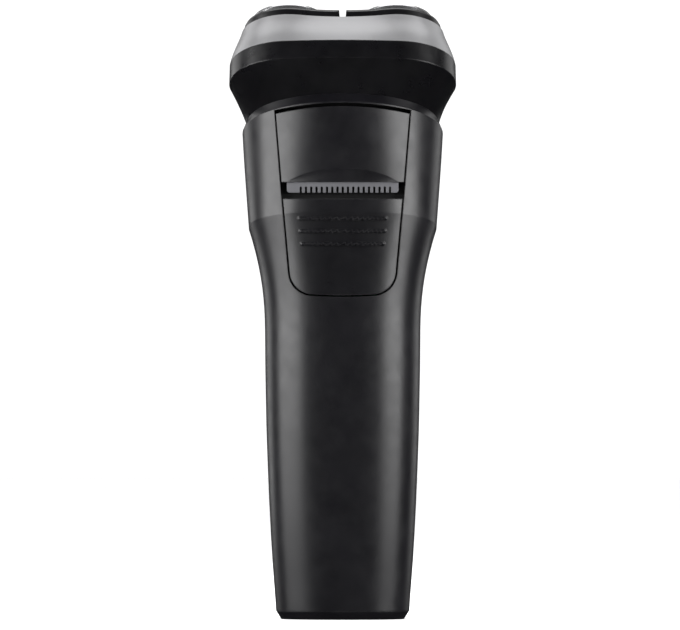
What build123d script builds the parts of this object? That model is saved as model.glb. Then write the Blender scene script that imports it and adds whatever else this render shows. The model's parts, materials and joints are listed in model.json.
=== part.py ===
"""Rotary electric shaver with three floating heads and a pop-out trimmer, as an assembly of separate parts.

Millimetres, +Z up. The origin is the centre of the flat base. -Y is the back, with the trimmer;
+Y is the front, with the power button, and the shaving head leans towards it.
The head is modelled in its own frame (u along X, v down the tilt, w along the head's axis).
"""
from build123d import *
from math import atan2, cos, degrees, hypot, pi, radians, sin, sqrt, tan
import os

# ---------------------------------------------------------------- driving dimensions
HEAD_TILT = 25.0            # the head's axis leans this far from vertical, towards +Y
NECK_Y, NECK_Z = 7.0, 129.1  # centre of the joint face between handle and head
NECK_A, NECK_B = 25.05, 18.4  # half axes of that oval face
COLLAR_W, COLLAR_A, COLLAR_B = -2.9, 26.2, 19.6  # outer edge of the handle's collar
COLLAR_N = 2.1              # exponent of the collar's oval
BASE_A, BASE_B, BASE_N = 16.05, 12.6, 2.5  # flat underside
BASE_CHAMFER = 2.1          # height of the chamfer round the base
WALL = 1.8                  # shell thickness
SHELL_GAP = 0.4             # visible gap round the trimmer panels
PARTING_GAP = 0.08          # hairline between the front and rear shells

# handle sections: centre y, centre z, tilt, half width, half depth, exponent
LOWER_SECTIONS = [
    (0.0, 2.1, 0.0, 17.4, 14.0, 2.5),
    (-0.3, 22.0, 0.0, 18.75, 15.0, 2.5),
    (-0.6, 48.0, 0.0, 19.85, 15.9, 2.5),
    (-0.7, 70.0, 0.0, 20.25, 16.3, 2.5),
    (-0.6, 81.0, 2.0, 20.45, 16.45, 2.5),
    (-0.4, 89.0, 6.0, 21.4, 16.75, 2.5),
    (-0.1, 95.5, 10.0, 22.75, 17.2, 2.5),
    (0.3, 101.8, 14.0, 24.5, 17.8, 2.5),
]
UPPER_SECTIONS = [
    LOWER_SECTIONS[-1],
    (2.0, 109.8, 18.0, 25.1, 18.4, 2.35),
    (3.9, 118.2, 21.5, 25.7, 19.0, 2.2),
    (5.77, 126.47, 25.0, COLLAR_A, COLLAR_B, COLLAR_N),
]

# shaving head
HEAD_RADIUS = 16.2          # each cutter's axis from the head's own axis
HEAD_SHIFT = 1.0            # the head's axis from the middle of the neck, along v
HEAD_SEAM = 0.06            # hairline between the handle's collar and the head
HEAD_ANGLES = (210.0, 330.0, 90.0)  # where the three cutters stand round that axis
# head outline levels: w, corner radius, bulge of the sides
CREASE = (8.0, 15.62, 0.8)
BAND_LOW = (13.2, 15.5, 0.5)
BAND_LEVELS = [BAND_LOW, (16.0, 14.72, 0.0), (18.3, 13.85, -0.5), (20.5, 13.0, -1.0), (22.4, 12.4, -1.4)]
OUTLINE_POINTS = 72

BAND_INSETS = (1.4, 1.4, 1.2, 0.9, 0.5)  # wall of the silver band at each level
PETAL_CORNER, PETAL_SIDE = 11.65, -1.45   # outline of the three petals, inside the band's rim
PETAL_LOW, PETAL_TOP = 20.0, 25.1
NOTCH_LOW, NOTCH_TOP = 0.6, 0.95          # half width of the gaps between the petals
PETAL_HINGE_R, PETAL_HINGE_W = 10.5, 17.6  # petal hinge, outwards from the cutter's axis
GUARD_R = 9.7
GUARD_SEAT_R = 9.9
SLOT_COUNT = 60

# gear train in the head
MODULE = 0.6
SUN_TEETH, PLANET_TEETH = 18, 36
GEAR_LOW, GEAR_HIGH = 8.8, 11.2

# trimmer, in the handle's own frame
FLAP_LOW = 113.75           # lower edge of the pop-out cover
SLIDER_TOP = 109.4
OPENING_TOP = 134.4
TRIMMER_AXIS_Y, TRIMMER_AXIS_Z = -9.9, 131.5
ROCKER_Z = 121.5
TOOTH_PITCH = 1.365
FIRST_GAP, GAP_COUNT = -10.9, 18

PANEL_THICKNESS = 1.6
RIB_HEIGHT, RIB_WIDTH = 0.5, 0.95
RIBS = [(104.3, 11.7), (101.0, 11.4), (97.7, 11.05)]  # height and half length of the slider's ribs

# drive, battery and board
MAGNET_U = 17.8
CAM_OFFSET = 0.5
ARM_PIVOT_V, ARM_TIP_V = -7.5, -13.2
BATTERY_Y, BOARD_Y = -4.0, 6.6
PORT_Y = 4.6
BACKLASH = 0.14
BLADE_COUNT = 9

# power button on the front
BUTTON_Z, BUTTON_R = 88.0, 6.3
LENS_Z = 71.0

FRAME = Plane(
    origin=(0, NECK_Y, NECK_Z),
    x_dir=(1, 0, 0),
    z_dir=(0, sin(radians(HEAD_TILT)), cos(radians(HEAD_TILT))),
)
PARTS = {}


# ---------------------------------------------------------------- helpers
def tilted_plane(y, z, tilt):
    """Plane through (0, y, z) whose normal leans by tilt degrees from +Z towards +Y."""
    return Plane(origin=(0, y, z), x_dir=(1, 0, 0), z_dir=(0, sin(radians(tilt)), cos(radians(tilt))))


def oval_points(a, b, n, count=24, first=3):
    """Points of a superellipse with half axes a and b and exponent n, anticlockwise.

    The first point, where the lofted surfaces have their seam, is kept off every parting line.
    """
    points = []
    for i in range(count):
        t = 2 * pi * (i + first) / count
        c, s = cos(t), sin(t)
        r = (abs(c / a) ** n + abs(s / b) ** n) ** (-1 / n)
        points.append((r * c, r * s))
    return points


def closed_face(points, plane=Plane.XY):
    """Face inside a smooth closed curve through points."""
    return plane * make_face(Spline([(x, y, 0) for x, y in points], periodic=True)).face()


def polygon_face(points, plane=Plane.XY):
    """Face inside a straight-sided polygon."""
    return plane * make_face(Polyline([(x, y, 0) for x, y in points], close=True)).face()


def oval_face(y, z, tilt, a, b, n, inset=0.0):
    return closed_face(oval_points(a - inset, b - inset, n), tilted_plane(y, z, tilt))


def evenly_spaced(sections, step=8.0):
    """Smooth in-between sections at an even spacing, so that a loft through them can't bulge."""
    reach = [0.0]
    for a, b in zip(sections, sections[1:]):
        reach.append(reach[-1] + hypot(b[0] - a[0], b[1] - a[1]))
    last = len(sections) - 1
    slopes = []
    for i in range(last + 1):
        low, high = max(i - 1, 0), min(i + 1, last)
        slopes.append([(q - p) / (reach[high] - reach[low]) for p, q in zip(sections[low], sections[high])])
    count = round(reach[-1] / step)
    result = []
    for j in range(count + 1):
        along = reach[-1] * j / count
        i = max(k for k in range(last) if reach[k] <= along + 1e-9)
        gap = reach[i + 1] - reach[i]
        t = (along - reach[i]) / gap
        result.append(tuple(
            (2 * t**3 - 3 * t**2 + 1) * p + (t**3 - 2 * t**2 + t) * gap * dp
            + (3 * t**2 - 2 * t**3) * q + (t**3 - t**2) * gap * dq
            for p, q, dp, dq in zip(sections[i], sections[i + 1], slopes[i], slopes[i + 1])))
    return result


def oval_loft(sections, inset=0.0):
    return loft([oval_face(*s, inset=inset) for s in sections])


def lobed_radius(angle, corner, bulge):
    """Polar radius, about the head's axis, of the outline of three corner circles joined by arcs.

    A positive bulge bows the sides outwards past the straight tangent line; a negative one dips them.
    """
    half = HEAD_RADIUS * sin(radians(60))
    depth = HEAD_RADIUS * cos(radians(60))
    from_side = (angle - 30) % 120
    from_side = radians(min(from_side, 120 - from_side))
    bulge = bulge if abs(bulge) > 1e-3 else 1e-3
    if bulge > 0:
        k = (half**2 - bulge**2) / (2 * bulge) - depth
        big = k + depth + bulge + corner
        reach = big - corner
        tangent = (half + corner * half / reach, depth + corner * (depth + k) / reach)
        side_r = -k * cos(from_side) + sqrt(big**2 - (k * sin(from_side)) ** 2)
    else:
        big = (half**2 + bulge**2) / (-2 * bulge) - corner
        k = depth + corner + bulge + big
        reach = big + corner
        tangent = (half - corner * half / reach, depth + corner * (k - depth) / reach)
        side_r = k * cos(from_side) - sqrt(max(0.0, big**2 - (k * sin(from_side)) ** 2))
    if from_side < atan2(tangent[0], tangent[1]):
        return side_r
    from_corner = radians(60) - from_side
    return HEAD_RADIUS * cos(from_corner) + sqrt(corner**2 - (HEAD_RADIUS * sin(from_corner)) ** 2)


def lobed_points(corner, bulge, inset=0.0):
    points = []
    for i in range(OUTLINE_POINTS):
        angle = 360.0 * i / OUTLINE_POINTS
        r = lobed_radius(angle, corner - inset, bulge)
        points.append((r * cos(radians(angle)), HEAD_SHIFT + r * sin(radians(angle))))
    return points


def lobed_face(level, inset=0.0):
    w, corner, bulge = level
    return closed_face(lobed_points(corner, bulge, inset), Plane(origin=(0, 0, w)))


def lobed_loft(levels, inset=0.0):
    return loft([lobed_face(level, inset) for level in levels])


def rod(radius, start, end, axis="Z", at=(0, 0)):
    """Cylinder from start to end along an axis, centred at the two other coordinates."""
    length = end - start
    if axis == "Z":
        return Pos(at[0], at[1], start) * Cylinder(radius, length, align=(Align.CENTER, Align.CENTER, Align.MIN))
    if axis == "X":
        turned = Rot(0, 90, 0) * Cylinder(radius, length, align=(Align.CENTER, Align.CENTER, Align.MIN))
        return Pos(start, at[0], at[1]) * turned
    turned = Rot(-90, 0, 0) * Cylinder(radius, length, align=(Align.CENTER, Align.CENTER, Align.MIN))
    return Pos(at[0], start, at[1]) * turned


def block(x, y, z):
    """Box between the given (low, high) pairs."""
    return Pos(sum(x) / 2, sum(y) / 2, sum(z) / 2) * Box(x[1] - x[0], y[1] - y[0], z[1] - z[0])


def head_centre(index):
    angle = radians(HEAD_ANGLES[index])
    return HEAD_RADIUS * cos(angle), HEAD_SHIFT + HEAD_RADIUS * sin(angle)


def add(name, shape):
    PARTS[name] = shape


def add_in_head(name, shape):
    add(name, FRAME * shape)


# ---------------------------------------------------------------- handle surfaces
def base_frustum(inset=0.0):
    low = closed_face(oval_points(BASE_A - inset, BASE_B - inset, BASE_N))
    return loft([low, oval_face(*LOWER_SECTIONS[0], inset=inset)], ruled=True)


def handle_solid():
    """Outer surface of the handle, with its crease and the chamfered edge of the collar."""
    neck = closed_face(oval_points(NECK_A, NECK_B, COLLAR_N), FRAME)
    collar = loft([oval_face(*UPPER_SECTIONS[-1]), neck], ruled=True)
    return oval_loft(evenly_spaced(LOWER_SECTIONS)) + (oval_loft(evenly_spaced(UPPER_SECTIONS)) + collar)


def cavity(inset):
    """Smooth inside surface at a depth below the handle's skin."""
    neck = (NECK_Y, NECK_Z, HEAD_TILT, NECK_A, NECK_B, COLLAR_N)
    return oval_loft([*evenly_spaced(LOWER_SECTIONS), *evenly_spaced(UPPER_SECTIONS)[1:], neck], inset)


def wall_piece(prism, thickness):
    """The part of the handle's wall inside a prism, down to a depth below the surface."""
    return (handle_solid() & prism) - cavity(thickness)


def between(low, high, y_range=(-60, 0)):
    """Tall box used to keep only a band of heights."""
    return block((-60, 60), y_range, (low, high))


def yz_prism(points, half_width, centre=0.0):
    """Straight prism along X whose section is a polygon of (y, z) points."""
    plane = Plane(origin=(centre - half_width, 0, 0), x_dir=(0, 1, 0), z_dir=(1, 0, 0))
    return extrude(polygon_face(points, plane), 2 * half_width)


def panel_prism(inset, low, high, top_gap=0.0):
    """Prism through the back wall with the trimmer opening's outline, between two heights."""
    top, bottom = OPENING_TOP - top_gap, 83.9 + inset
    side = 17.8 - inset
    outline = make_face([
        ThreePointArc((-side, top - 1.9), (0, top), (side, top - 1.9)),
        Polyline((side, top - 1.9), (16.1 - inset, 111.5), (13.7 - inset, bottom + 0.7)),
        ThreePointArc((13.7 - inset, bottom + 0.7), (0, bottom), (inset - 13.7, bottom + 0.7)),
        Polyline((inset - 13.7, bottom + 0.7), (inset - 16.1, 111.5), (-side, top - 1.9)),
    ])
    corners = [v for v in outline.vertices() if v.Y < 90]
    outline = fillet(corners, 6.5 - inset)
    prism = extrude(Plane.XZ * outline, 40)
    return prism & between(low, high)


def rear_region():
    """Everything behind the parting surface, which runs through the middles of the sections."""
    middles = [(0.0, -5.0)] + [(s[0], s[1]) for s in LOWER_SECTIONS + UPPER_SECTIONS[1:]]
    return yz_prism([(-60, -5), *middles, (8.7, 132.8), (8.7, 145), (-60, 145)], 60)


# ---------------------------------------------------------------- handle shells
def make_shells():
    outer = handle_solid() - block((-60, 60), (-60, 60), (-5, BASE_CHAMFER + 0.05))
    rear = (outer & rear_region()) - cavity(WALL)
    front = (outer - rear_region()) - cavity(WALL)
    rear -= panel_prism(0, 0, 140)
    rear -= rod(3.2, -9, 9, "X", (TRIMMER_AXIS_Y, TRIMMER_AXIS_Z)) & cavity(0.9)
    front -= rod(7.95, 5, 40, "Y", (0, BUTTON_Z))
    front -= lens_prism(0.05)
    add("rear_shell", Pos(0, -PARTING_GAP / 2, 0) * rear)
    add("front_shell", Pos(0, PARTING_GAP / 2, 0) * front)


def lens_prism(grow):
    slot = SlotOverall(8.0 + 2 * grow, 1.6 + 2 * grow)
    return extrude(Plane.XZ.offset(-40) * (Pos(0, LENS_Z) * slot), 35)


def make_base():
    plug = loft([
        oval_face(0, BASE_CHAMFER, 0, 17.4, 14.0, BASE_N, WALL + 0.1),
        oval_face(-0.04, 5.2, 0, 17.6, 14.15, BASE_N, WALL + 0.1),
    ])
    hollow = extrude(closed_face(oval_points(14.0, 10.6, BASE_N), Plane(origin=(0, 0, BASE_CHAMFER))), 10)
    port = extrude(Pos(0, PORT_Y) * SlotOverall(9.5, 3.7), 10)
    add("base_cap", base_frustum() + (plug - hollow) - port)
    tube = extrude(Pos(0, PORT_Y, 0.6) * SlotOverall(9.3, 3.5), 7.4)
    tube -= extrude(Pos(0, PORT_Y, 0.6) * SlotOverall(8.8, 3.0), 6.8)
    tongue = block((-3.3, 3.3), (PORT_Y - 0.35, PORT_Y + 0.35), (2.2, 7.4))
    add("usb_socket", tube + tongue)


def make_deck():
    """Top of the handle: a plate with the round spigot that the head drops over."""
    plate = extrude(closed_face(oval_points(NECK_A - WALL - 0.1, NECK_B - WALL - 0.1, COLLAR_N),
                                Plane(origin=(0, 0, -2.0))), 1.85)
    at = (0, HEAD_SHIFT)
    spigot = rod(11.5, -0.2, 4.6, at=at) - rod(10.2, -0.3, 3.4, at=at)
    groove = rod(12.0, 1.4, 2.6, at=at) - rod(10.9, 1.4, 2.6, at=at)
    deck = plate + spigot - groove
    deck -= rod(3.0, -3, 1, at=at)
    deck -= rod(2.4, 0, 6, at=at)
    relief = FRAME.location.inverse() * rod(3.2, -16.4, 16.4, "X", (TRIMMER_AXIS_Y, TRIMMER_AXIS_Z))
    deck -= relief
    for u in (-MAGNET_U, MAGNET_U):
        deck -= rod(2.05, -1.7, 1, at=(u, 0))
    magnets = [rod(2.0, -1.65, -0.3, at=(u, 0)) for u in (-MAGNET_U, MAGNET_U)]
    add_in_head("top_deck", deck)
    add_in_head("coupling_magnets", Compound(children=magnets))
    seal = Pos(0, HEAD_SHIFT, 2.0) * Torus(11.45, 0.5)
    add_in_head("neck_seal", seal)
    add_in_head("shaft_seal", rod(2.95, -1.9, -0.4, at=at) - rod(1.08, -2, 0, at=at))


# ---------------------------------------------------------------- motor and its drive
def flat_sided(radius, half_flat, low, high):
    """Round bar with two flats, on the head's axis."""
    at = (0, HEAD_SHIFT)
    return rod(radius, low, high, at=at) & block(
        (-20, 20), (HEAD_SHIFT - half_flat, HEAD_SHIFT + half_flat), (low, high))


def make_motor():
    at = (0, HEAD_SHIFT)
    can = flat_sided(10.0, 7.0, -25.5, -5.5) - flat_sided(9.2, 6.2, -25.6, -6.3)
    can -= rod(1.2, -7, -5, at=at)
    screw_at = [(-6.9, HEAD_SHIFT), (6.9, HEAD_SHIFT)]
    for spot in screw_at:
        can -= rod(0.85, -8, -5, at=spot)
    add_in_head("motor_can", can)
    ring = rod(9.1, -20, -9, at=at) - rod(7.2, -21, -8, at=at)
    ring &= block((-20, 20), (HEAD_SHIFT - 5.0, HEAD_SHIFT + 5.0), (-21, -8))
    add_in_head("motor_magnets", ring)
    end_cap = flat_sided(9.9, 6.9, -27.2, -25.55) - rod(1.1, -30, -20, at=at)
    add_in_head("motor_end_cap", end_cap)

    rotor = rod(1.0, -27.8, 7.0, at=at)
    for i in range(3):
        pole = rod(6.0, -19, -10, at=(0, 0)) & block((-1.2, 1.2), (0, 6.0), (-19, -10))
        shoe = (rod(6.0, -19, -10) - rod(4.9, -20, -9)) & block((-3.6, 3.6), (0, 7), (-19, -10))
        rotor += Pos(0, HEAD_SHIFT) * Rot(0, 0, 120 * i + 30) * (pole + shoe)
    rotor += rod(2.4, -24.5, -20.5, at=at)
    add_in_head("motor_rotor", rotor)
    cam = rod(2.3, -4.2, -2.8, at=(CAM_OFFSET, HEAD_SHIFT)) - rod(1.02, -5, -2, at=at)
    add_in_head("eccentric_cam", cam)
    coupling = hexagon(3.4, 0.5, 7.4) - rod(1.02, 0, 7.1, at=at)
    add_in_head("drive_coupling", coupling)

    plate = block((-11, 11), (-10.2, 8.5), (-5.4, -4.5)) - rod(3.2, -6, -4, at=at)
    for u in (-9.6, 9.6):
        plate += block((u - 1.2, u + 1.2), (-3.0, 7.5), (-4.6, -2.1))
    plate += rod(1.0, -4.6, -2.3, at=(0, ARM_PIVOT_V))
    for spot in screw_at:
        plate -= rod(1.0, -6, -4, at=spot)
    add_in_head("motor_mount", plate)
    screws = [rod(1.3, -4.45, -3.4, at=spot) + rod(0.8, -7.8, -4.4, at=spot) for spot in screw_at]
    add_in_head("motor_screws", Compound(children=screws))
    fork = block((-4.8, 4.8), (-3.0, 3.4), (-4.0, -2.9)) - block((-3.7, 3.7), (-2.4, 9), (-6, 0))
    arm = fork + block((-1.4, 1.4), (ARM_TIP_V, -2.6), (-4.0, -2.9)) + rod(2.2, -4.0, -2.9, at=(0, ARM_PIVOT_V))
    arm -= rod(1.06, -6, 0, at=(0, ARM_PIVOT_V))
    add_in_head("drive_arm", arm)


def hexagon(across_flats, low, high, at=(0, HEAD_SHIFT)):
    return Pos(at[0], at[1], low) * extrude(RegularPolygon(across_flats / 2, 6, major_radius=False), high - low)


# ---------------------------------------------------------------- battery, board and button
def make_power():
    battery = rod(7.0, 27, 76.5, at=(0, BATTERY_Y)) + rod(2.4, 76.4, 77.5, at=(0, BATTERY_Y))
    add("battery", battery)
    tabs = [
        block((-2.5, 2.5), (BATTERY_Y - 4, 5.9), (77.6, 77.9)),
        block((-2.5, 2.5), (BATTERY_Y - 4, 5.9), (26.6, 26.9)),
    ]
    add("battery_tabs", Compound(children=tabs))
    plate = block((-13.0, 13.0), (4.0, 5.4), (9.5, 99.0))
    plate -= block((-9, 9), (3, 6), (82, 95))
    plate -= block((-4, 4), (3, 6), (25, 28.5))
    plate -= block((-4, 4), (3, 6), (76, 79.5))
    for z in (30, 50, 70):
        cradle = block((-9.5, 9.5), (BATTERY_Y, 4.1), (z, z + 2.5)) - rod(7.1, z - 1, z + 4, at=(0, BATTERY_Y))
        plate += cradle
    add("chassis", plate)
    add("circuit_board", block((-11.5, 11.5), (BOARD_Y, BOARD_Y + 1.2), (9.0, 97.0)))
    top = BOARD_Y + 1.25
    parts = [
        block((-3.5, 3.5), (top, top + 0.9), (44, 51)),
        block((-9, -4), (top, top + 2.0), (30, 35)),
        block((4, 8), (top, top + 1.2), (32, 35)),
        block((-8, -5), (top, top + 1.0), (56, 61)),
        block((5, 9.5), (top, top + 1.6), (54, 59)),
    ]
    parts += [block((x - 0.8, x + 0.8), (top, top + 0.7), (LENS_Z - 0.6, LENS_Z + 0.6)) for x in (-2.5, 0, 2.5)]
    add("board_components", Compound(children=parts))
    switch = block((-3, 3), (top, top + 2.4), (BUTTON_Z - 3, BUTTON_Z + 3)) + rod(
        1.6, top + 2.3, top + 3.0, "Y", (0, BUTTON_Z))
    add("power_switch", switch)


def make_front_controls():
    """Power button with its ring, and the light window below it."""
    at = (0, BUTTON_Z)
    button = wall_piece(rod(BUTTON_R, 5, 40, "Y", at), 2.0)
    button += rod(5.2, 13.4, 15.0, "Y", at)
    button += rod(1.4, 11.8, 13.6, "Y", at)
    add("power_button", button)
    ring = wall_piece(rod(7.9, 5, 40, "Y", at), 2.0) - rod(BUTTON_R + 0.25, 4, 41, "Y", at)
    add("button_ring", ring)
    add("indicator_lens", wall_piece(lens_prism(0), 2.0))


# ---------------------------------------------------------------- trimmer
def trimmer_scoop():
    """Wedge that leaves the sloping face above the toothed edge."""
    low_y, high_y, high_z = -13.4, -15.19, 117.3
    slope = (high_y - low_y) / (high_z - FLAP_LOW)
    far_z = high_z + 10
    return yz_prism([(low_y, FLAP_LOW), (high_y + slope * 10, far_z), (-40, far_z), (-40, 113), (low_y, 113)], 18)


def make_trimmer():
    cover = wall_piece(panel_prism(0.4, FLAP_LOW, OPENING_TOP, 0.9), PANEL_THICKNESS)
    thick = handle_solid() & (panel_prism(0.4, FLAP_LOW, 119.0) & block((-15.0, 15.0), (-30, -12.95), (110, 120)))
    pocket = block((-14.7, 14.7), (-12.95, -9), (113, 113.9)) + block((-13.1, 13.1), (-12.95, -9), (113, 117.2))
    cover = cover - pocket + thick - trimmer_scoop()
    axis = (TRIMMER_AXIS_Y, TRIMMER_AXIS_Z)
    cover -= rod(1.45, -4.95, 4.95, "X", axis)
    for side in (-1, 1):
        low, high = sorted((side * 5.0, side * 7.0))
        knuckle = rod(1.2, low, high, "X", axis)
        knuckle += block((low, high), (TRIMMER_AXIS_Y - 1.6, TRIMMER_AXIS_Y), (TRIMMER_AXIS_Z - 1.1, TRIMMER_AXIS_Z + 0.8))
        cover += knuckle
    cover += rod(0.9, -13.6, -9.9, "Y", (0, ROCKER_Z))
    cover -= rod(0.66, -8, 8, "X", axis)
    add("trimmer_cover", cover)
    add("trimmer_hinge_pin", rod(0.6, -6.9, 6.9, "X", axis))

    comb = toothed_plate((-14.5, 14.5), (-12.9, -12.5), (111.0, 113.7), 0.62, 1.6)
    comb += block((-12.9, 12.9), (-12.9, -12.5), (113.6, 117.0))
    comb_corners = comb.edges().filter_by(Axis.Y).filter_by(
        lambda e: abs(abs(e.center().X) - 14.5) < 0.01 and e.center().Z < 112)
    add("trimmer_comb", fillet(comb_corners, 0.7))
    blade = toothed_plate((-12.4, 12.4), (-12.45, -12.1), (111.4, 116.6), 0.75, 1.5)
    add("trimmer_blade", blade)
    carrier = block((-9, 9), (-12.05, -11.1), (113.6, 116.9)) - block((-0.95, 0.95), (-13, -11), (113.9, 117.2))
    add("blade_carrier", carrier)
    rocker = yz_prism([(-11.9, 114.6), (-11.2, 114.6), (-9.4, 128.4), (-10.1, 128.4)], 0.75)
    rocker += rod(2.2, -11.7, -10.3, "Y", (0, ROCKER_Z))
    rocker -= rod(0.97, -14, -9, "Y", (0, ROCKER_Z))
    add("trimmer_rocker", rocker)


def toothed_plate(x, y, z, gap, depth):
    """Flat plate with a row of round-ended gaps along its lower edge."""
    plate = block(x, y, z)
    centre_y = (y[0] + y[1]) / 2
    reach = y[1] - y[0] + 1
    gaps = []
    for i in range(GAP_COUNT):
        at_x = FIRST_GAP + i * TOOTH_PITCH
        gaps.append(block((at_x - gap / 2, at_x + gap / 2), (y[0] - 1, y[1] + 1), (z[0] - 1, z[0] + depth - gap / 2)))
        gaps.append(rod(gap / 2, centre_y - reach, centre_y + reach, "Y", (at_x, z[0] + depth - gap / 2)))
    return plate - gaps


def make_slider():
    plate = wall_piece(panel_prism(0.4, 80, SLIDER_TOP), PANEL_THICKNESS)
    raised = oval_loft(evenly_spaced(LOWER_SECTIONS), -RIB_HEIGHT)
    for z, half in RIBS:
        stadium = Plane.XZ.offset(15.0) * (Pos(0, z) * SlotOverall(2 * half, RIB_WIDTH))
        plate += raised & extrude(stadium, 10)
    for u in (-9.0, 9.0):
        plate += block((u - 0.8, u + 0.8), (-16.0, -12.6), (88.0, 104.0))
    add("trimmer_slider", plate)


def make_bay():
    """Tray behind the trimmer that closes the handle off from hair and water."""
    floor = yz_prism([
        (-5.6, 129.8), (-5.6, 127.0), (-10.3, 110.5), (-10.3, 108.3), (-14.2, 108.3), (-14.2, 107.5),
        (-9.5, 107.5), (-9.5, 110.6), (-4.8, 127.1), (-4.8, 129.8)], 18.7)
    cheeks = yz_prism([(-5.2, 129.8), (-5.2, 127.0), (-9.9, 110.5), (-9.9, 107.5), (-30, 107.5), (-30, 129.8)], 18.7)
    cheeks -= block((-18.0, 18.0), (-40, 0), (100, 140))
    bay = (floor + cheeks) & cavity(WALL + 0.08)
    for side in (-1, 1):
        low, high = sorted((side * 3.2, side * 4.8))
        ear = block((low, high), (TRIMMER_AXIS_Y, -5.0), (128.4, TRIMMER_AXIS_Z + 0.7))
        ear += rod(1.2, low, high, "X", (TRIMMER_AXIS_Y, TRIMMER_AXIS_Z))
        bay += ear
    bay -= rod(0.63, -8, 8, "X", (TRIMMER_AXIS_Y, TRIMMER_AXIS_Z))
    add("trimmer_bay", bay)
    coil = Helix(pitch=0.42, height=1.5, radius=0.95)
    wire = sweep(Plane(coil @ 0, z_dir=coil % 0) * Circle(0.17), path=coil)
    add("trimmer_spring", Pos(1.4, TRIMMER_AXIS_Y, TRIMMER_AXIS_Z) * Rot(0, 90, 0) * wire)


# ---------------------------------------------------------------- shaving head
def make_head_shell():
    low = closed_face(oval_points(NECK_A, NECK_B, 2.0, OUTLINE_POINTS, 0))
    funnel = loft([low, lobed_face(CREASE)], ruled=True)
    rim = loft([lobed_face(CREASE), lobed_face(BAND_LOW)], ruled=True)
    upper = loft([lobed_face((7.8, 15.4, 0.8), 1.9), lobed_face(BAND_LOW, 1.6)], ruled=True)
    lower = extrude(closed_face(oval_points(NECK_A - 2.2, NECK_B - 2.2, 2.0)), 6.2)
    at = (0, HEAD_SHIFT)
    bowl = funnel + rim - upper - lower
    bowl += rod(13.4, 0.4, 6.4, at=at) - rod(12.1, 0, 6.2, at=at)
    for u in (-MAGNET_U, MAGNET_U):
        bowl += rod(2.6, 1.1, 6.4, at=(u, 0))
    bowl -= rod(4.2, 5, 9, at=at)
    for i in range(3):
        bowl -= rod(0.95, 6.8, 9, at=head_centre(i))
    bowl -= block((-30, 30), (-30, 30), (-1, HEAD_SEAM))
    add_in_head("head_bowl", bowl)
    plates = [rod(2.5, 0.15, 1.05, at=(u, 0)) for u in (-MAGNET_U, MAGNET_U)]
    add_in_head("strike_plates", Compound(children=plates))
    add_in_head("sun_bush", rod(4.15, 6.0, 8.2, at=at) - rod(3.07, 5, 9, at=at))

    inner_levels = [(w, corner - wall, bulge) for (w, corner, bulge), wall in zip(BAND_LEVELS, BAND_INSETS)]
    add_in_head("silver_band", lobed_loft(BAND_LEVELS) - lobed_loft(inner_levels))


def make_gear_train():
    at = (0, HEAD_SHIFT)
    sun = Pos(0, HEAD_SHIFT, GEAR_LOW) * spur_gear(SUN_TEETH, GEAR_HIGH - GEAR_LOW)
    sun += rod(3.0, 4.9, GEAR_LOW + 0.1, at=at) + rod(1.5, GEAR_HIGH - 0.1, 13.1, at=at)
    add_in_head("sun_gear", sun - hexagon(3.9, 4.8, 8.0))
    pins = []
    for i in range(3):
        spot = head_centre(i)
        gear = Pos(spot[0], spot[1], GEAR_LOW) * spur_gear(PLANET_TEETH, GEAR_HIGH - GEAR_LOW)
        gear += rod(2.6, 8.0, GEAR_LOW + 0.1, at=spot) + rod(3.2, GEAR_HIGH - 0.1, 14.4, at=spot)
        gear -= rod(0.97, 7, 11.5, at=spot)
        gear -= rod(2.0, 11.4, 16, at=spot)
        add_in_head(f"planet_gear_{i + 1}", gear)
        spindle = rod(1.9, 11.6, 16.0, at=spot) + rod(1.4, 15.9, 18.6, at=spot)
        add_in_head(f"drive_spindle_{i + 1}", spindle + hexagon(3.2, 18.5, 20.9, at=spot))
        pins.append(rod(0.9, 6.85, 11.3, at=spot))
    add_in_head("gear_pins", Compound(children=pins))
    cover = lobed_face((12.2, 15.5, 0.5), 1.95)
    cover = extrude(cover, 0.95) - rod(1.6, 12, 14, at=at)
    for i in range(3):
        cover -= rod(3.4, 12, 14, at=head_centre(i))
    add_in_head("gear_cover", cover)


def spur_gear(teeth, width):
    """Involute spur gear of MODULE with a tooth centred on +X, cut thin for backlash."""
    pressure = radians(20)
    pitch_r = MODULE * teeth / 2
    base_r = pitch_r * cos(pressure)
    tip_r = pitch_r + 0.95 * MODULE
    root_r = pitch_r - 1.25 * MODULE
    half_at_pitch = (pi * MODULE / 2 - BACKLASH) / (2 * pitch_r)
    involute = tan(pressure) - pressure
    flank = []
    for step in range(5):
        r = max(base_r, root_r) + (tip_r - max(base_r, root_r)) * step / 4
        roll = sqrt(max(0.0, (r / base_r) ** 2 - 1))
        flank.append((r, half_at_pitch + involute - (roll - atan2(roll, 1))))
    points = []
    for i in range(teeth):
        middle = 2 * pi * i / teeth
        root_half = flank[0][1] if base_r > root_r else flank[0][1] + 0.02
        sides = [(root_r, -root_half)] + [(r, -h) for r, h in flank]
        sides += [(r, h) for r, h in reversed(flank)] + [(root_r, root_half)]
        points += [(r * cos(middle + a), r * sin(middle + a)) for r, a in sides]
    return extrude(polygon_face(points), width)


def in_petal(index, shape):
    """Moves a shape made for a petal that points along +X, with its cutter on the Z axis, into place."""
    spot = head_centre(index)
    return Pos(spot[0], spot[1], 0) * Rot(0, 0, HEAD_ANGLES[index]) * shape


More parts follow.
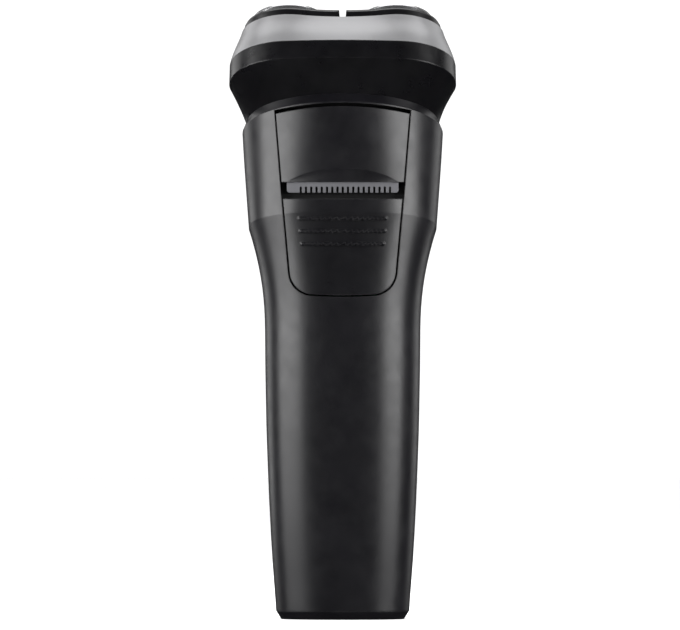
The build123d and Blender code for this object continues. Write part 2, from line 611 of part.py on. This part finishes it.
def make_head_frame():
    plate = extrude(lobed_face((14.8, 15.0, 0.2), 2.05), 1.4)
    pins = []
    for i in range(3):
        plate -= rod(9.0, 14, 17, at=head_centre(i))
        for side in (-1, 1):
            low, high = sorted((side * 4.6, side * 5.6))
            post = block((9.9, 11.1), (low, high), (16.0, PETAL_HINGE_W + 0.8))
            post -= rod(0.38, -8, 8, "Y", (PETAL_HINGE_R, PETAL_HINGE_W))
            plate += in_petal(i, post)
        pins.append(in_petal(i, rod(0.36, -5.6, 5.6, "Y", (PETAL_HINGE_R, PETAL_HINGE_W))))
    add_in_head("head_frame", plate)
    add_in_head("petal_pins", Compound(children=pins))


def make_petals():
    levels = [(PETAL_LOW, PETAL_CORNER, PETAL_SIDE), (24.2, PETAL_CORNER, PETAL_SIDE),
              (24.85, PETAL_CORNER - 0.35, PETAL_SIDE), (PETAL_TOP, PETAL_CORNER - 1.0, PETAL_SIDE)]
    disc = loft([lobed_face(level) for level in levels], ruled=True)
    disc -= rod(2.0, 19, 26, at=(0, HEAD_SHIFT))
    notch = Plane(origin=(0, 0, 0), x_dir=(0, 1, 0), z_dir=(1, 0, 0)) * make_face(Polyline([
        (-NOTCH_LOW, PETAL_LOW - 0.1), (NOTCH_LOW, PETAL_LOW - 0.1),
        (NOTCH_TOP, PETAL_TOP + 0.1), (-NOTCH_TOP, PETAL_TOP + 0.1)], close=True))
    for angle in (270, 30, 150):
        disc -= Pos(0, HEAD_SHIFT, 0) * Rot(0, 0, angle) * extrude(notch, 40)
    for i in range(3):
        spot = head_centre(i)
        petal = [s for s in disc.solids() if hypot(s.center().X - spot[0], s.center().Y - spot[1]) < 6][0]
        petal = petal - rod(GUARD_SEAT_R, 19, 26, at=spot)
        lugs = None
        for side in (-1, 1):
            low, high = sorted((side * 2.8, side * 4.4))
            lug = block((9.8, 11.0), (low, high), (PETAL_HINGE_W, PETAL_LOW + 0.3))
            lug += rod(0.8, low, high, "Y", (PETAL_HINGE_R, PETAL_HINGE_W))
            lug -= rod(0.42, -8, 8, "Y", (PETAL_HINGE_R, PETAL_HINGE_W))
            lugs = lug if lugs is None else lugs + lug
        add_in_head(f"petal_{i + 1}", petal + in_petal(i, lugs))


def make_guards_and_cutters():
    profile = Plane.XZ * make_face(Polyline([
        (0, 26.3), (4.95, 26.3), (5.5, 26.95), (6.8, 27.15), (8.4, 27.0), (9.0, 26.75), (9.3, 26.3), (9.3, 23.8),
        (9.7, 23.8), (9.7, 26.4), (9.35, 26.95), (8.6, 27.35), (6.8, 27.5), (5.3, 27.3), (4.7, 26.7), (0, 26.7)],
        close=True))
    guard = revolve(profile, Axis.Z)
    slots = [Rot(0, 0, 360 * i / SLOT_COUNT) * block((5.7, 9.1), (-0.15, 0.15), (26, 28)) for i in range(SLOT_COUNT)]
    guard -= slots
    cutter = rod(8.4, 24.4, 25.0) + rod(3.6, 19.2, 24.5) - hexagon(4.5, 19, 23.2, at=(0, 0))
    for i in range(BLADE_COUNT):
        blade = Pos(7.1, 0, 25.75) * Rot(25, 0, 0) * Box(2.4, 0.5, 1.9)
        cutter += Rot(0, 0, 360 * i / BLADE_COUNT) * blade
    for i in range(3):
        spot = head_centre(i)
        add_in_head(f"guard_cap_{i + 1}", Pos(spot[0], spot[1], 0) * guard)
        add_in_head(f"cutter_{i + 1}", Pos(spot[0], spot[1], 0) * cutter)


def main():
    make_shells()
    make_base()
    make_deck()
    make_motor()
    make_power()
    make_front_controls()
    make_trimmer()
    make_slider()
    make_bay()
    make_head_shell()
    make_gear_train()
    make_head_frame()
    make_petals()
    make_guards_and_cutters()
    os.makedirs("parts", exist_ok=True)
    for name, shape in PARTS.items():
        export_step(shape, f"parts/{name}.step")


main()
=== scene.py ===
import json
import math

import bmesh
import bpy
import numpy as np
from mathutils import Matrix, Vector

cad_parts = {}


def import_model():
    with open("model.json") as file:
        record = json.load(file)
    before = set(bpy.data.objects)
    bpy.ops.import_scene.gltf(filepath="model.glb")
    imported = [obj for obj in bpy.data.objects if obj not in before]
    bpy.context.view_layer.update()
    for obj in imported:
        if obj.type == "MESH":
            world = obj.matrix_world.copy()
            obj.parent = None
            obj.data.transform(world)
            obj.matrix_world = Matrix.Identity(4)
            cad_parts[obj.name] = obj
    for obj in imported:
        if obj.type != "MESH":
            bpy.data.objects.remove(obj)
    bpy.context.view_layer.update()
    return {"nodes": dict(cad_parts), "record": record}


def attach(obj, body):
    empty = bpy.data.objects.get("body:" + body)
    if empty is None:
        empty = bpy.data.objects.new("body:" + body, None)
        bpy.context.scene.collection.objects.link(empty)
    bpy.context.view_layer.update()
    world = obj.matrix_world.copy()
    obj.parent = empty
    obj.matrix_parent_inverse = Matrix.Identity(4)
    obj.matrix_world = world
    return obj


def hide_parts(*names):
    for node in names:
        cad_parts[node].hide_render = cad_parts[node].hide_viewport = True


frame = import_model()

SCENE = bpy.context.scene
MM = 1000.0  # millimetres in a metre
TILT = math.radians(25.0)  # the head leans this far from vertical


def node(name):
    return frame["nodes"][name]


# ---------------------------------------------------------------- materials
COLOUR_A, COLOUR_B, COLOUR_OUT = 6, 7, 2  # the colour sockets of Blender's mix node
BEVEL_SAMPLES = 4
EDGE_LOW, EDGE_HIGH = 0.02, 0.25  # how far rounding turns a normal: open face, and an edge fully lightened by abrasion and painted highlight
NOISE_LOW, NOISE_HIGH = 0.3, 0.7  # the part of the noise's range that is used
PLASTIC_IOR = 1.5
GRAIN_SIZE = 0.00022  # all feature sizes in metres
FLOW_SIZE, FLOW_DARKER, FLOW_LIGHTER, FLOW_LIFT = 0.011, 0.88, 1.16, 0.001
SMUDGE_SIZE, SMUDGE_LOW, SMUDGE_HIGH = 0.004, 0.35, 0.75
# edges of moulded plastic are lightened, partly as abrasion and partly as a painted highlight along them
WEAR_AND_HIGHLIGHT_LEAST, WEAR_AND_HIGHLIGHT_MOST, WEAR_AND_HIGHLIGHT_LIFT = 0.15, 0.6, 0.5
# metal edges are brightened, partly as polish and partly as a painted highlight along them
METAL_EDGE, METAL_BRIGHTER, METAL_WEAR_AND_HIGHLIGHT = 0.00015, 1.25, 0.5
BLAST_SIZE, BRUSH_SIZE, GRAIN_LOW, GRAIN_HIGH = 0.00012, 0.001, 0.25, 0.75
STAIN_SIZE, STAIN_DARKER, STAIN_ROUGHNESS = 0.006, 0.93, 0.02


class Graph:
    """Small helper for building a node material."""

    def __init__(self, name):
        self.material = bpy.data.materials.new(name)
        self.material.use_nodes = True
        self.tree = self.material.node_tree
        self.tree.nodes.clear()
        self.output = self.add("ShaderNodeOutputMaterial")
        self.shader = self.add("ShaderNodeBsdfPrincipled")
        self.link(self.shader.outputs["BSDF"], self.output.inputs["Surface"])
        self.place = self.add("ShaderNodeTexCoord").outputs["Object"]

    def add(self, kind, **values):
        made = self.tree.nodes.new(kind)
        for key, value in values.items():
            setattr(made, key, value)
        return made

    def link(self, a, b):
        self.tree.links.new(a, b)

    def mapped(self, scale, rotation):
        mapping = self.add("ShaderNodeMapping")
        mapping.inputs["Scale"].default_value = scale
        mapping.inputs["Rotation"].default_value = rotation
        self.link(self.place, mapping.inputs["Vector"])
        return mapping.outputs["Vector"]

    def noise(self, size, detail=3.0, roughness=0.5, vector=None):
        """Noise with features of about size metres."""
        made = self.add("ShaderNodeTexNoise")
        made.inputs["Scale"].default_value = 1.0 / size
        made.inputs["Detail"].default_value = detail
        made.inputs["Roughness"].default_value = roughness
        self.link(vector or self.place, made.inputs["Vector"])
        return made.outputs["Fac"]

    def remap(self, value, low, high, to_low, to_high):
        made = self.add("ShaderNodeMapRange")
        names = ("From Min", "From Max", "To Min", "To Max")
        for key, number in zip(names, (low, high, to_low, to_high)):
            made.inputs[key].default_value = number
        self.link(value, made.inputs["Value"])
        return made.outputs["Result"]

    def maths(self, operation, a, b):
        made = self.add("ShaderNodeMath", operation=operation)
        for socket, value in zip(made.inputs, (a, b)):
            if isinstance(value, (int, float)):
                socket.default_value = value
            else:
                self.link(value, socket)
        return made.outputs[0]

    def mix(self, factor, a, b):
        made = self.add("ShaderNodeMix", data_type="RGBA")
        self.link(factor, made.inputs["Factor"])
        for socket, value in ((made.inputs[COLOUR_A], a), (made.inputs[COLOUR_B], b)):
            if isinstance(value, tuple):
                socket.default_value = (*value[:3], 1.0)
            else:
                self.link(value, socket)
        return made.outputs[COLOUR_OUT]

    def rounded(self, radius):
        made = self.add("ShaderNodeBevel", samples=BEVEL_SAMPLES)
        made.inputs["Radius"].default_value = radius
        return made.outputs["Normal"]

    def edge_mask(self, rounded):
        """1 along edges, which are rubbed smooth and lightened partly by abrasion and partly as a painted
        edge highlight; 0 on open faces.
        """
        geometry = self.add("ShaderNodeNewGeometry")
        dot = self.add("ShaderNodeVectorMath", operation="DOT_PRODUCT")
        self.link(rounded, dot.inputs[0])
        self.link(geometry.outputs["Normal"], dot.inputs[1])
        flat = self.maths("SUBTRACT", 1.0, dot.outputs["Value"])
        return self.remap(flat, EDGE_LOW, EDGE_HIGH, 0.0, 1.0)

    def bump(self, height, distance, normal):
        made = self.add("ShaderNodeBump")
        made.inputs["Distance"].default_value = distance
        self.link(height, made.inputs["Height"])
        self.link(normal, made.inputs["Normal"])
        return made.outputs["Normal"]


def moulded(name, colour, roughness, depth=0.000004, edge=0.0003, wear_and_highlight=0.10, spread=0.05):
    """Moulded plastic: fine grain, faint flow marks, handling polish and softened edges, whose lighter
    colour is partly abrasion and partly a painted edge highlight.
    """
    g = Graph(name)
    rounded = g.rounded(edge)
    mask = g.edge_mask(rounded)
    flow = g.noise(FLOW_SIZE, detail=4.0)
    smudge = g.noise(SMUDGE_SIZE, detail=5.0, roughness=0.6)
    fine = g.noise(GRAIN_SIZE, detail=2.0)
    lighter = tuple(min(1.0, c * FLOW_LIGHTER + FLOW_LIFT) for c in colour)
    darker = tuple(c * FLOW_DARKER for c in colour)
    # lighter colour along the edges: partly abrasion, partly a painted edge highlight
    wear_and_highlight_colour = tuple(min(1.0, c + wear_and_highlight * WEAR_AND_HIGHLIGHT_LIFT) for c in colour)
    base = g.mix(g.remap(flow, NOISE_LOW, NOISE_HIGH, 0.0, 1.0), darker, lighter)
    wear_and_highlight_amount = g.maths("MULTIPLY", mask, g.remap(smudge, SMUDGE_LOW, NOISE_HIGH, WEAR_AND_HIGHLIGHT_LEAST, WEAR_AND_HIGHLIGHT_MOST))
    g.link(g.mix(wear_and_highlight_amount, base, wear_and_highlight_colour), g.shader.inputs["Base Color"])
    rough = g.remap(smudge, NOISE_LOW, SMUDGE_HIGH, roughness - spread, roughness + spread)
    polished = g.maths("SUBTRACT", rough, g.maths("MULTIPLY", mask, spread))
    g.link(polished, g.shader.inputs["Roughness"])
    g.link(g.bump(fine, depth, rounded), g.shader.inputs["Normal"])
    g.shader.inputs["IOR"].default_value = PLASTIC_IOR
    return g.material


def metal(name, colour, roughness, streak=None, spread=0.05, depth=0.000002, metallic=1.0):
    """Bare or painted metal, with edges brightened partly as polish and partly as a painted highlight.
    streak is (scale, rotation) of the brushing, or None for a blasted grain.
    """
    g = Graph(name)
    rounded = g.rounded(METAL_EDGE)
    mask = g.edge_mask(rounded)
    if streak is None:
        fine = g.noise(BLAST_SIZE, detail=3.0)
    else:
        fine = g.noise(BRUSH_SIZE, detail=4.0, roughness=0.65, vector=g.mapped(*streak))
    stain = g.noise(STAIN_SIZE, detail=4.0)
    stained = tuple(c * STAIN_DARKER for c in colour)
    base = g.mix(g.remap(stain, NOISE_LOW, NOISE_HIGH, 0.0, 1.0), stained, colour)
    # brighter colour along the edges: partly polish, partly a painted edge highlight
    bright_wear_and_highlight = tuple(min(1.0, c * METAL_BRIGHTER) for c in colour)
    g.link(g.mix(g.maths("MULTIPLY", mask, METAL_WEAR_AND_HIGHLIGHT), base, bright_wear_and_highlight), g.shader.inputs["Base Color"])
    from_grain = g.remap(fine, GRAIN_LOW, GRAIN_HIGH, -spread, spread)
    from_stain = g.remap(stain, NOISE_LOW, NOISE_HIGH, -STAIN_ROUGHNESS, STAIN_ROUGHNESS)
    both = g.maths("ADD", from_grain, from_stain)
    g.link(g.maths("ADD", both, roughness), g.shader.inputs["Roughness"])
    g.link(g.bump(fine, depth, rounded), g.shader.inputs["Normal"])
    g.shader.inputs["Metallic"].default_value = metallic
    return g.material


AROUND_HEAD = ((0.12, 0.12, 6.0), (TILT, 0, 0))
ALONG_X = ((0.15, 5.0, 5.0), (0, 0, 0))

MATERIALS = {
    "satin_black": moulded("satin_black", (0.0031, 0.0029, 0.0042), 0.35),
    "gloss_black": moulded(
        "gloss_black", (0.0029, 0.0028, 0.0038), 0.31, edge=0.00045, depth=0.000001, spread=0.04),
    "head_black": moulded("head_black", (0.0012, 0.0011, 0.0018), 0.31, wear_and_highlight=0.07, depth=0.000003),
    "satin_silver": metal(
        "satin_silver", (0.19, 0.19, 0.195), 0.33, depth=0.0000006, spread=0.02, metallic=0.38),
    "dark_steel": metal("dark_steel", (0.13, 0.13, 0.14), 0.40, streak=ALONG_X, metallic=0.4),
    "steel": metal("steel", (0.46, 0.46, 0.47), 0.22, streak=ALONG_X, metallic=0.93),
    "gear_plastic": moulded("gear_plastic", (0.66, 0.64, 0.58), 0.42, wear_and_highlight=0.05),
    "inner_plastic": moulded("inner_plastic", (0.0035, 0.0035, 0.0038), 0.6, wear_and_highlight=0.03),
    "seal_rubber": moulded("seal_rubber", (0.012, 0.012, 0.012), 0.75, spread=0.08, depth=0.00001),
    "ferrite": moulded("ferrite", (0.05, 0.05, 0.05), 0.7),
    "battery_wrap": moulded("battery_wrap", (0.02, 0.11, 0.32), 0.25, depth=0.000001),
    "board_green": moulded("board_green", (0.008, 0.09, 0.03), 0.3, depth=0.000001),
    "component_black": moulded("component_black", (0.012, 0.012, 0.012), 0.45),
    "brass": metal("brass", (0.72, 0.52, 0.22), 0.28, streak=AROUND_HEAD),
}

SLOTS = {s["node"]: s["material_slot"] for s in frame["record"]["subparts"]}
for name, obj in frame["nodes"].items():
    obj.data.materials.clear()
    obj.data.materials.append(MATERIALS[SLOTS[name]])
node("trimmer_comb").data.materials[0] = MATERIALS["dark_steel"]


# ---------------------------------------------------------------- smooth skins
# Each casing's outer face follows part.py's sections, repeated here in millimetres, so that it can
# shade as that smooth surface: centre y, centre z, tilt, half width, half depth, exponent.
NECK_Y, NECK_Z = 7.0, 129.1
NECK_A, NECK_B = 25.05, 18.4  # half axes of the oval where the handle meets the head
BASE_HEIGHT = 2.1  # height of the chamfer round the base
LOWER = np.array([
    (0.0, BASE_HEIGHT, 0.0, 17.4, 14.0, 2.5),
    (-0.3, 22.0, 0.0, 18.75, 15.0, 2.5),
    (-0.6, 48.0, 0.0, 19.85, 15.9, 2.5),
    (-0.7, 70.0, 0.0, 20.25, 16.3, 2.5),
    (-0.6, 81.0, 2.0, 20.45, 16.45, 2.5),
    (-0.4, 89.0, 6.0, 21.4, 16.75, 2.5),
    (-0.1, 95.5, 10.0, 22.75, 17.2, 2.5),
    (0.3, 101.8, 14.0, 24.5, 17.8, 2.5),
])
UPPER = np.array([
    LOWER[-1],
    (2.0, 109.8, 18.0, 25.1, 18.4, 2.35),
    (3.9, 118.2, 21.5, 25.7, 19.0, 2.2),
    (5.77, 126.47, 25.0, 26.2, 19.6, 2.1),
])
COLLAR = np.array([UPPER[-1], (NECK_Y, NECK_Z, 25.0, NECK_A, NECK_B, 2.1)])
BASE = np.array([(0.0, 0.0, 0.0, 16.05, 12.6, 2.5), LOWER[0]])

# The head's outline: height w along its axis, corner radius, bulge of the sides.
HEAD_RADIUS, HEAD_SHIFT = 16.2, 1.0
LOBE = 120.0  # degrees from one lobe of the head to the next
FLAT_BULGE = 1e-3  # a smaller bulge than this is taken as this, so that its circle has a radius
CREASE = (8.0, 15.62, 0.8)
BAND_LOW = (13.2, 15.5, 0.5)
RIM_LEVELS = np.array([CREASE, BAND_LOW])
BAND_LEVELS = np.array([
    BAND_LOW,
    (16.0, 14.72, 0.0),
    (18.3, 13.85, -0.5),
    (20.5, 13.0, -1.0),
    (22.4, 12.4, -1.4),
])
BAND_TOP = 22.41
PETAL_LOW, PETAL_TOP, PETAL_SIDE_TOP = 19.0, 25.0, 24.21
PETAL_CORNER, PETAL_BULGE = 11.65, -1.45
PETAL_LEVELS = np.array([(PETAL_LOW, PETAL_CORNER, PETAL_BULGE), (PETAL_TOP, PETAL_CORNER, PETAL_BULGE)])
SECTION_STEPS = 8  # rounds that find the tilted section through a point
FIELD_SCALE = 20.0  # about the handle's half width, which makes a section's value roughly millimetres

GRADIENT_STEP = 0.004
SKIN_REACH = 0.12  # a face this near the smooth surface belongs to it
SKIN_ANGLE = math.radians(32.0)  # and its normal is within this of the surface's
SHARP_ANGLE = math.radians(28.0)
WELD, DEGENERATE = 1e-6, 1e-7  # metres


class Curve:
    """Natural cubic spline through rows of values, or straight pieces when there are only two."""

    def __init__(self, knots, values):
        self.x, self.y = np.asarray(knots, float), np.asarray(values, float)
        n = len(self.x)
        h = np.diff(self.x)
        system = np.eye(n)
        right = np.zeros_like(self.y)
        for i in range(1, n - 1):
            system[i, i - 1:i + 2] = h[i - 1], 2 * (h[i - 1] + h[i]), h[i]
            right[i] = 6 * ((self.y[i + 1] - self.y[i]) / h[i] - (self.y[i] - self.y[i - 1]) / h[i - 1])
        self.m = np.linalg.solve(system, right)

    def __call__(self, at):
        i = np.clip(np.searchsorted(self.x, at) - 1, 0, len(self.x) - 2)
        h = (self.x[i + 1] - self.x[i])[:, None]
        a = (self.x[i + 1] - at)[:, None]
        b = (at - self.x[i])[:, None]
        return (self.m[i] * a**3 + self.m[i + 1] * b**3) / (6 * h) + (
            self.y[i] / h - self.m[i] * h / 6) * a + (self.y[i + 1] / h - self.m[i + 1] * h / 6) * b


def handle_field(sections):
    """Value that is 0 on the handle's skin, below 0 inside it, from the ovals that shape it."""
    curve = Curve(sections[:, 1], sections)

    def value(p):
        t = p[:, 2].copy()
        for _ in range(SECTION_STEPS):
            row = curve(t)
            tilt = np.radians(row[:, 2])
            t = t + (p[:, 1] - row[:, 0]) * np.sin(tilt) + (p[:, 2] - t) * np.cos(tilt)
        row = curve(t)
        tilt = np.radians(row[:, 2])
        v = (p[:, 1] - row[:, 0]) * np.cos(tilt) - (p[:, 2] - t) * np.sin(tilt)
        a, b, n = row[:, 3], row[:, 4], row[:, 5]
        return ((np.abs(p[:, 0] / a) ** n + np.abs(v / b) ** n) ** (1 / n) - 1) * FIELD_SCALE
    return value


def above(section):
    """Height of a point over the plane of a section."""
    y, z, tilt = section[0], section[1], math.radians(section[2])
    return lambda p: (p[:, 1] - y) * math.sin(tilt) + (p[:, 2] - z) * math.cos(tilt)


def head_coordinates(p):
    """Points in the head's own frame: u across, v down the tilt, w along its axis."""
    y, z = p[:, 1] - NECK_Y, p[:, 2] - NECK_Z
    return p[:, 0], y * math.cos(TILT) - z * math.sin(TILT), y * math.sin(TILT) + z * math.cos(TILT)


def lobed(angle, corner, bulge):
    """Radius of the three-lobed outline at an angle, for arrays of equal length."""
    half_lobe = math.radians(LOBE / 2)
    half, depth = HEAD_RADIUS * math.sin(half_lobe), HEAD_RADIUS * math.cos(half_lobe)
    side = np.mod(np.degrees(angle) - LOBE / 4, LOBE)
    side = np.radians(np.minimum(side, LOBE - side))
    b = np.where(np.abs(bulge) > FLAT_BULGE, bulge, FLAT_BULGE)
    out_k = (half**2 - b**2) / (2 * b) - depth
    out_big = out_k + depth + b + corner
    out_reach = out_big - corner
    in_big = (half**2 + b**2) / (-2 * b) - corner
    in_k = depth + corner + b + in_big
    in_reach = in_big + corner
    swell = b > 0
    tangent_x = np.where(swell, half + corner * half / out_reach, half - corner * half / in_reach)
    tangent_y = np.where(
        swell, depth + corner * (depth + out_k) / out_reach, depth + corner * (in_k - depth) / in_reach)
    out_r = -out_k * np.cos(side) + np.sqrt(np.maximum(0, out_big**2 - (out_k * np.sin(side)) ** 2))
    in_r = in_k * np.cos(side) - np.sqrt(np.maximum(0, in_big**2 - (in_k * np.sin(side)) ** 2))
    turn = half_lobe - side
    across = HEAD_RADIUS * np.sin(turn)
    corner_r = HEAD_RADIUS * np.cos(turn) + np.sqrt(np.maximum(0, corner**2 - across**2))
    return np.where(side < np.arctan2(tangent_x, tangent_y), np.where(swell, out_r, in_r), corner_r)


def lobed_field(levels):
    """Value that is 0 on the head's lobed outline between the given levels."""
    curve = Curve(levels[:, 0], levels)

    def value(p):
        u, v, w = head_coordinates(p)
        row = curve(w)
        v = v - HEAD_SHIFT
        return np.hypot(u, v) - lobed(np.arctan2(v, u), row[:, 1], row[:, 2])
    return value


def funnel_field(p):
    """Value that is 0 on the head's tapered lower part, from the neck's oval to the lobed crease."""
    height, corner, bulge = CREASE
    u, v, w = head_coordinates(p)
    t = np.clip(w / height, -0.1, 1.1)
    v = v - HEAD_SHIFT * t
    angle = np.arctan2(v, u)
    oval = 1 / np.sqrt((np.cos(angle) / NECK_A) ** 2 + (np.sin(angle) / NECK_B) ** 2)
    outline = lobed(angle, np.full_like(t, corner), np.full_like(t, bulge))
    return np.hypot(u, v) - (oval * (1 - t) + outline * t)


def between_w(low, high):
    return lambda p: (head_coordinates(p)[2] > low) & (head_coordinates(p)[2] < high)


CREASE_SIDE = above(LOWER[-1])
COLLAR_SIDE = above(UPPER[-1])
HANDLE_FIELDS = [
    (handle_field(BASE), lambda p: p[:, 2] < BASE_HEIGHT),
    (handle_field(LOWER), lambda p: (p[:, 2] >= BASE_HEIGHT) & (CREASE_SIDE(p) < 0)),
    (handle_field(UPPER), lambda p: (CREASE_SIDE(p) >= 0) & (COLLAR_SIDE(p) < 0)),
    (handle_field(COLLAR), lambda p: COLLAR_SIDE(p) >= 0),
]
HEAD_FIELDS = [
    (funnel_field, between_w(-0.1, CREASE[0])),
    (lobed_field(RIM_LEVELS), between_w(CREASE[0], BAND_LOW[0])),
]
BAND_FIELDS = [(lobed_field(BAND_LEVELS), between_w(BAND_LOW[0], BAND_TOP))]
PETAL_FIELDS = [(lobed_field(PETAL_LEVELS), between_w(PETAL_LOW, PETAL_SIDE_TOP))]


def field_normals(value, points):
    gradient = np.empty_like(points)
    for axis in range(3):
        shift = np.zeros(3)
        shift[axis] = GRADIENT_STEP
        gradient[:, axis] = value(points + shift) - value(points - shift)
    return gradient / np.linalg.norm(gradient, axis=1, keepdims=True)


def read_all(items, attribute, width=1, kind=float):
    """One attribute of every item in a mesh's collection, as an array."""
    found = np.empty(len(items) * width, kind)
    items.foreach_get(attribute, found)
    return found.reshape(-1, width) if width > 1 else found


def skinned(name, fields):
    """A piece with a CAD node's exact shape whose outer faces shade as the true smooth surface."""
    mesh = node(name).data.copy()
    mesh.name = name + "_skin"
    build = bmesh.new()
    build.from_mesh(mesh)
    bmesh.ops.remove_doubles(build, verts=build.verts, dist=WELD)
    bmesh.ops.dissolve_degenerate(build, edges=build.edges, dist=DEGENERATE)
    build.to_mesh(mesh)
    build.free()
    for polygon in mesh.polygons:
        polygon.use_smooth = True
    mesh.set_sharp_from_angle(angle=SHARP_ANGLE)
    corners = read_all(mesh.corner_normals, "vector", 3, np.float32).astype(float)
    points = read_all(mesh.vertices, "co", 3) * MM
    at_vertex = read_all(mesh.loops, "vertex_index", kind=np.int32)
    centres = read_all(mesh.polygons, "center", 3) * MM
    flat = read_all(mesh.polygons, "normal", 3)
    faces = len(mesh.polygons)
    face_of = np.repeat(np.arange(faces), read_all(mesh.polygons, "loop_total", kind=np.int32))
    for value, inside in fields:
        near = np.zeros(faces, bool)
        chosen = np.nonzero(inside(centres))[0]
        if len(chosen) == 0:
            continue
        normals = field_normals(value, centres[chosen])
        close = np.abs(value(centres[chosen])) < SKIN_REACH
        aligned = (normals * flat[chosen]).sum(1) > math.cos(SKIN_ANGLE)
        near[chosen[close & aligned]] = True
        loops = np.nonzero(near[face_of])[0]
        if len(loops):
            corners[loops] = field_normals(value, points[at_vertex[loops]])
    mesh.normals_split_custom_set(corners.tolist())
    piece = bpy.data.objects.new(name + "_skin", mesh)
    SCENE.collection.objects.link(piece)
    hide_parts(name)
    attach(piece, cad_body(name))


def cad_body(name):
    """The body that a CAD node belongs to."""
    bodies = frame["record"]["behaviour"]["bodies"]
    return next(body for body, members in bodies.items() if name in members)


HANDLE_SKINS = (
    "base_cap", "rear_shell", "front_shell", "trimmer_cover", "trimmer_slider",
    "power_button", "button_ring", "indicator_lens",
)
for part in HANDLE_SKINS:
    skinned(part, HANDLE_FIELDS)
skinned("head_bowl", HEAD_FIELDS)
skinned("silver_band", BAND_FIELDS)
for number in (1, 2, 3):
    skinned(f"petal_{number}", PETAL_FIELDS)


# ---------------------------------------------------------------- stage, lights and camera
FLOOR_HALF, FLOOR_DIVISIONS = 3.0, 8
FLOOR_DROP = 0.00005  # the floor lies this far under the base, so that the two don't fight


def square(name, half, divisions):
    """A flat square mesh with a grid of faces."""
    mesh = bpy.data.meshes.new(name)
    step = 2.0 / divisions
    row = divisions + 1
    points = [((i * step - 1) * half, (j * step - 1) * half, 0.0) for j in range(row) for i in range(row)]
    faces = [(j * row + i, j * row + i + 1, (j + 1) * row + i + 1, (j + 1) * row + i)
             for j in range(divisions) for i in range(divisions)]
    mesh.from_pydata(points, [], faces)
    obj = bpy.data.objects.new(name, mesh)
    SCENE.collection.objects.link(obj)
    return obj


def floor_material():
    g = Graph("pale_floor")
    cloud = g.noise(0.3, detail=3.0)
    g.link(g.mix(cloud, (0.90, 0.90, 0.90), (0.94, 0.94, 0.94)), g.shader.inputs["Base Color"])
    g.shader.inputs["Roughness"].default_value = 0.9
    g.shader.inputs["Specular IOR Level"].default_value = 0.1
    return g.material


floor = square("floor", FLOOR_HALF, FLOOR_DIVISIONS)
floor.location = (0, 0, -FLOOR_DROP)
floor.data.materials.append(floor_material())
floor.visible_glossy = False


def softbox(name, centre, aim, size, power):
    """A rectangular area light that faces aim and is itself unseen by the camera."""
    data = bpy.data.lights.new(name, "AREA")
    data.shape = "RECTANGLE"
    data.size, data.size_y = size
    data.energy = power
    light = bpy.data.objects.new(name, data)
    SCENE.collection.objects.link(light)
    light.location = centre
    direction = Vector(aim) - Vector(centre)
    light.rotation_euler = direction.to_track_quat("-Z", "Y").to_euler()
    light.visible_camera = False


MIDDLE = (0.0, 0.0, 0.085)  # about half way up the shaver
softbox("left_softbox", (-0.73, -0.33, 0.26), MIDDLE, (0.80, 0.60), 10.0)
softbox("right_softbox", (0.68, -0.42, 0.26), MIDDLE, (0.55, 0.60), 7.5)
softbox("left_rim", (-0.55, 0.55, 0.30), MIDDLE, (0.40, 0.70), 1.2)
softbox("right_rim", (0.55, 0.55, 0.30), MIDDLE, (0.40, 0.70), 0.9)
softbox("top_softbox", (0.0, 0.30, 0.85), MIDDLE, (1.10, 0.50), 5.0)


WORLD_STRENGTH = 1.15
WORLD_IN_REFLECTIONS = 0.02  # a dark surround, so that only the softboxes show in the glossy casing


def world():
    made = bpy.data.worlds.new("studio")
    made.use_nodes = True
    tree = made.node_tree
    tree.nodes.clear()
    out = tree.nodes.new("ShaderNodeOutputWorld")
    path = tree.nodes.new("ShaderNodeLightPath")
    seen = tree.nodes.new("ShaderNodeBackground")
    seen.inputs["Color"].default_value = (1, 1, 1, 1)
    seen.inputs["Strength"].default_value = WORLD_STRENGTH
    dark = tree.nodes.new("ShaderNodeBackground")
    dark.inputs["Color"].default_value = (1, 1, 1, 1)
    dark.inputs["Strength"].default_value = WORLD_IN_REFLECTIONS
    mix = tree.nodes.new("ShaderNodeMixShader")
    tree.links.new(path.outputs["Is Glossy Ray"], mix.inputs["Fac"])
    tree.links.new(seen.outputs[0], mix.inputs[1])
    tree.links.new(dark.outputs[0], mix.inputs[2])
    tree.links.new(mix.outputs[0], out.inputs["Surface"])
    SCENE.world = made


world()
SCENE.view_settings.view_transform = "Standard"

LENS, SENSOR = 700.0, 36.0  # a long lens, in millimetres, for the photograph's flat perspective
VIEW_WIDTH = 0.1768  # width of the picture at the handle's back, in metres
BACK_DEPTH = 0.012  # that plane is this far from the origin, towards the camera
LOOK_X, LOOK_Z = -0.0007, 0.0792
camera_data = bpy.data.cameras.new("camera")
camera_data.sensor_width = SENSOR
camera_data.lens = LENS
camera_data.clip_start, camera_data.clip_end = 0.05, 20.0
camera = bpy.data.objects.new("camera", camera_data)
SCENE.collection.objects.link(camera)
distance = VIEW_WIDTH * LENS / SENSOR
camera.location = (LOOK_X, -distance - BACK_DEPTH, LOOK_Z)
camera.rotation_euler = (math.radians(90), 0, 0)
SCENE.camera = camera
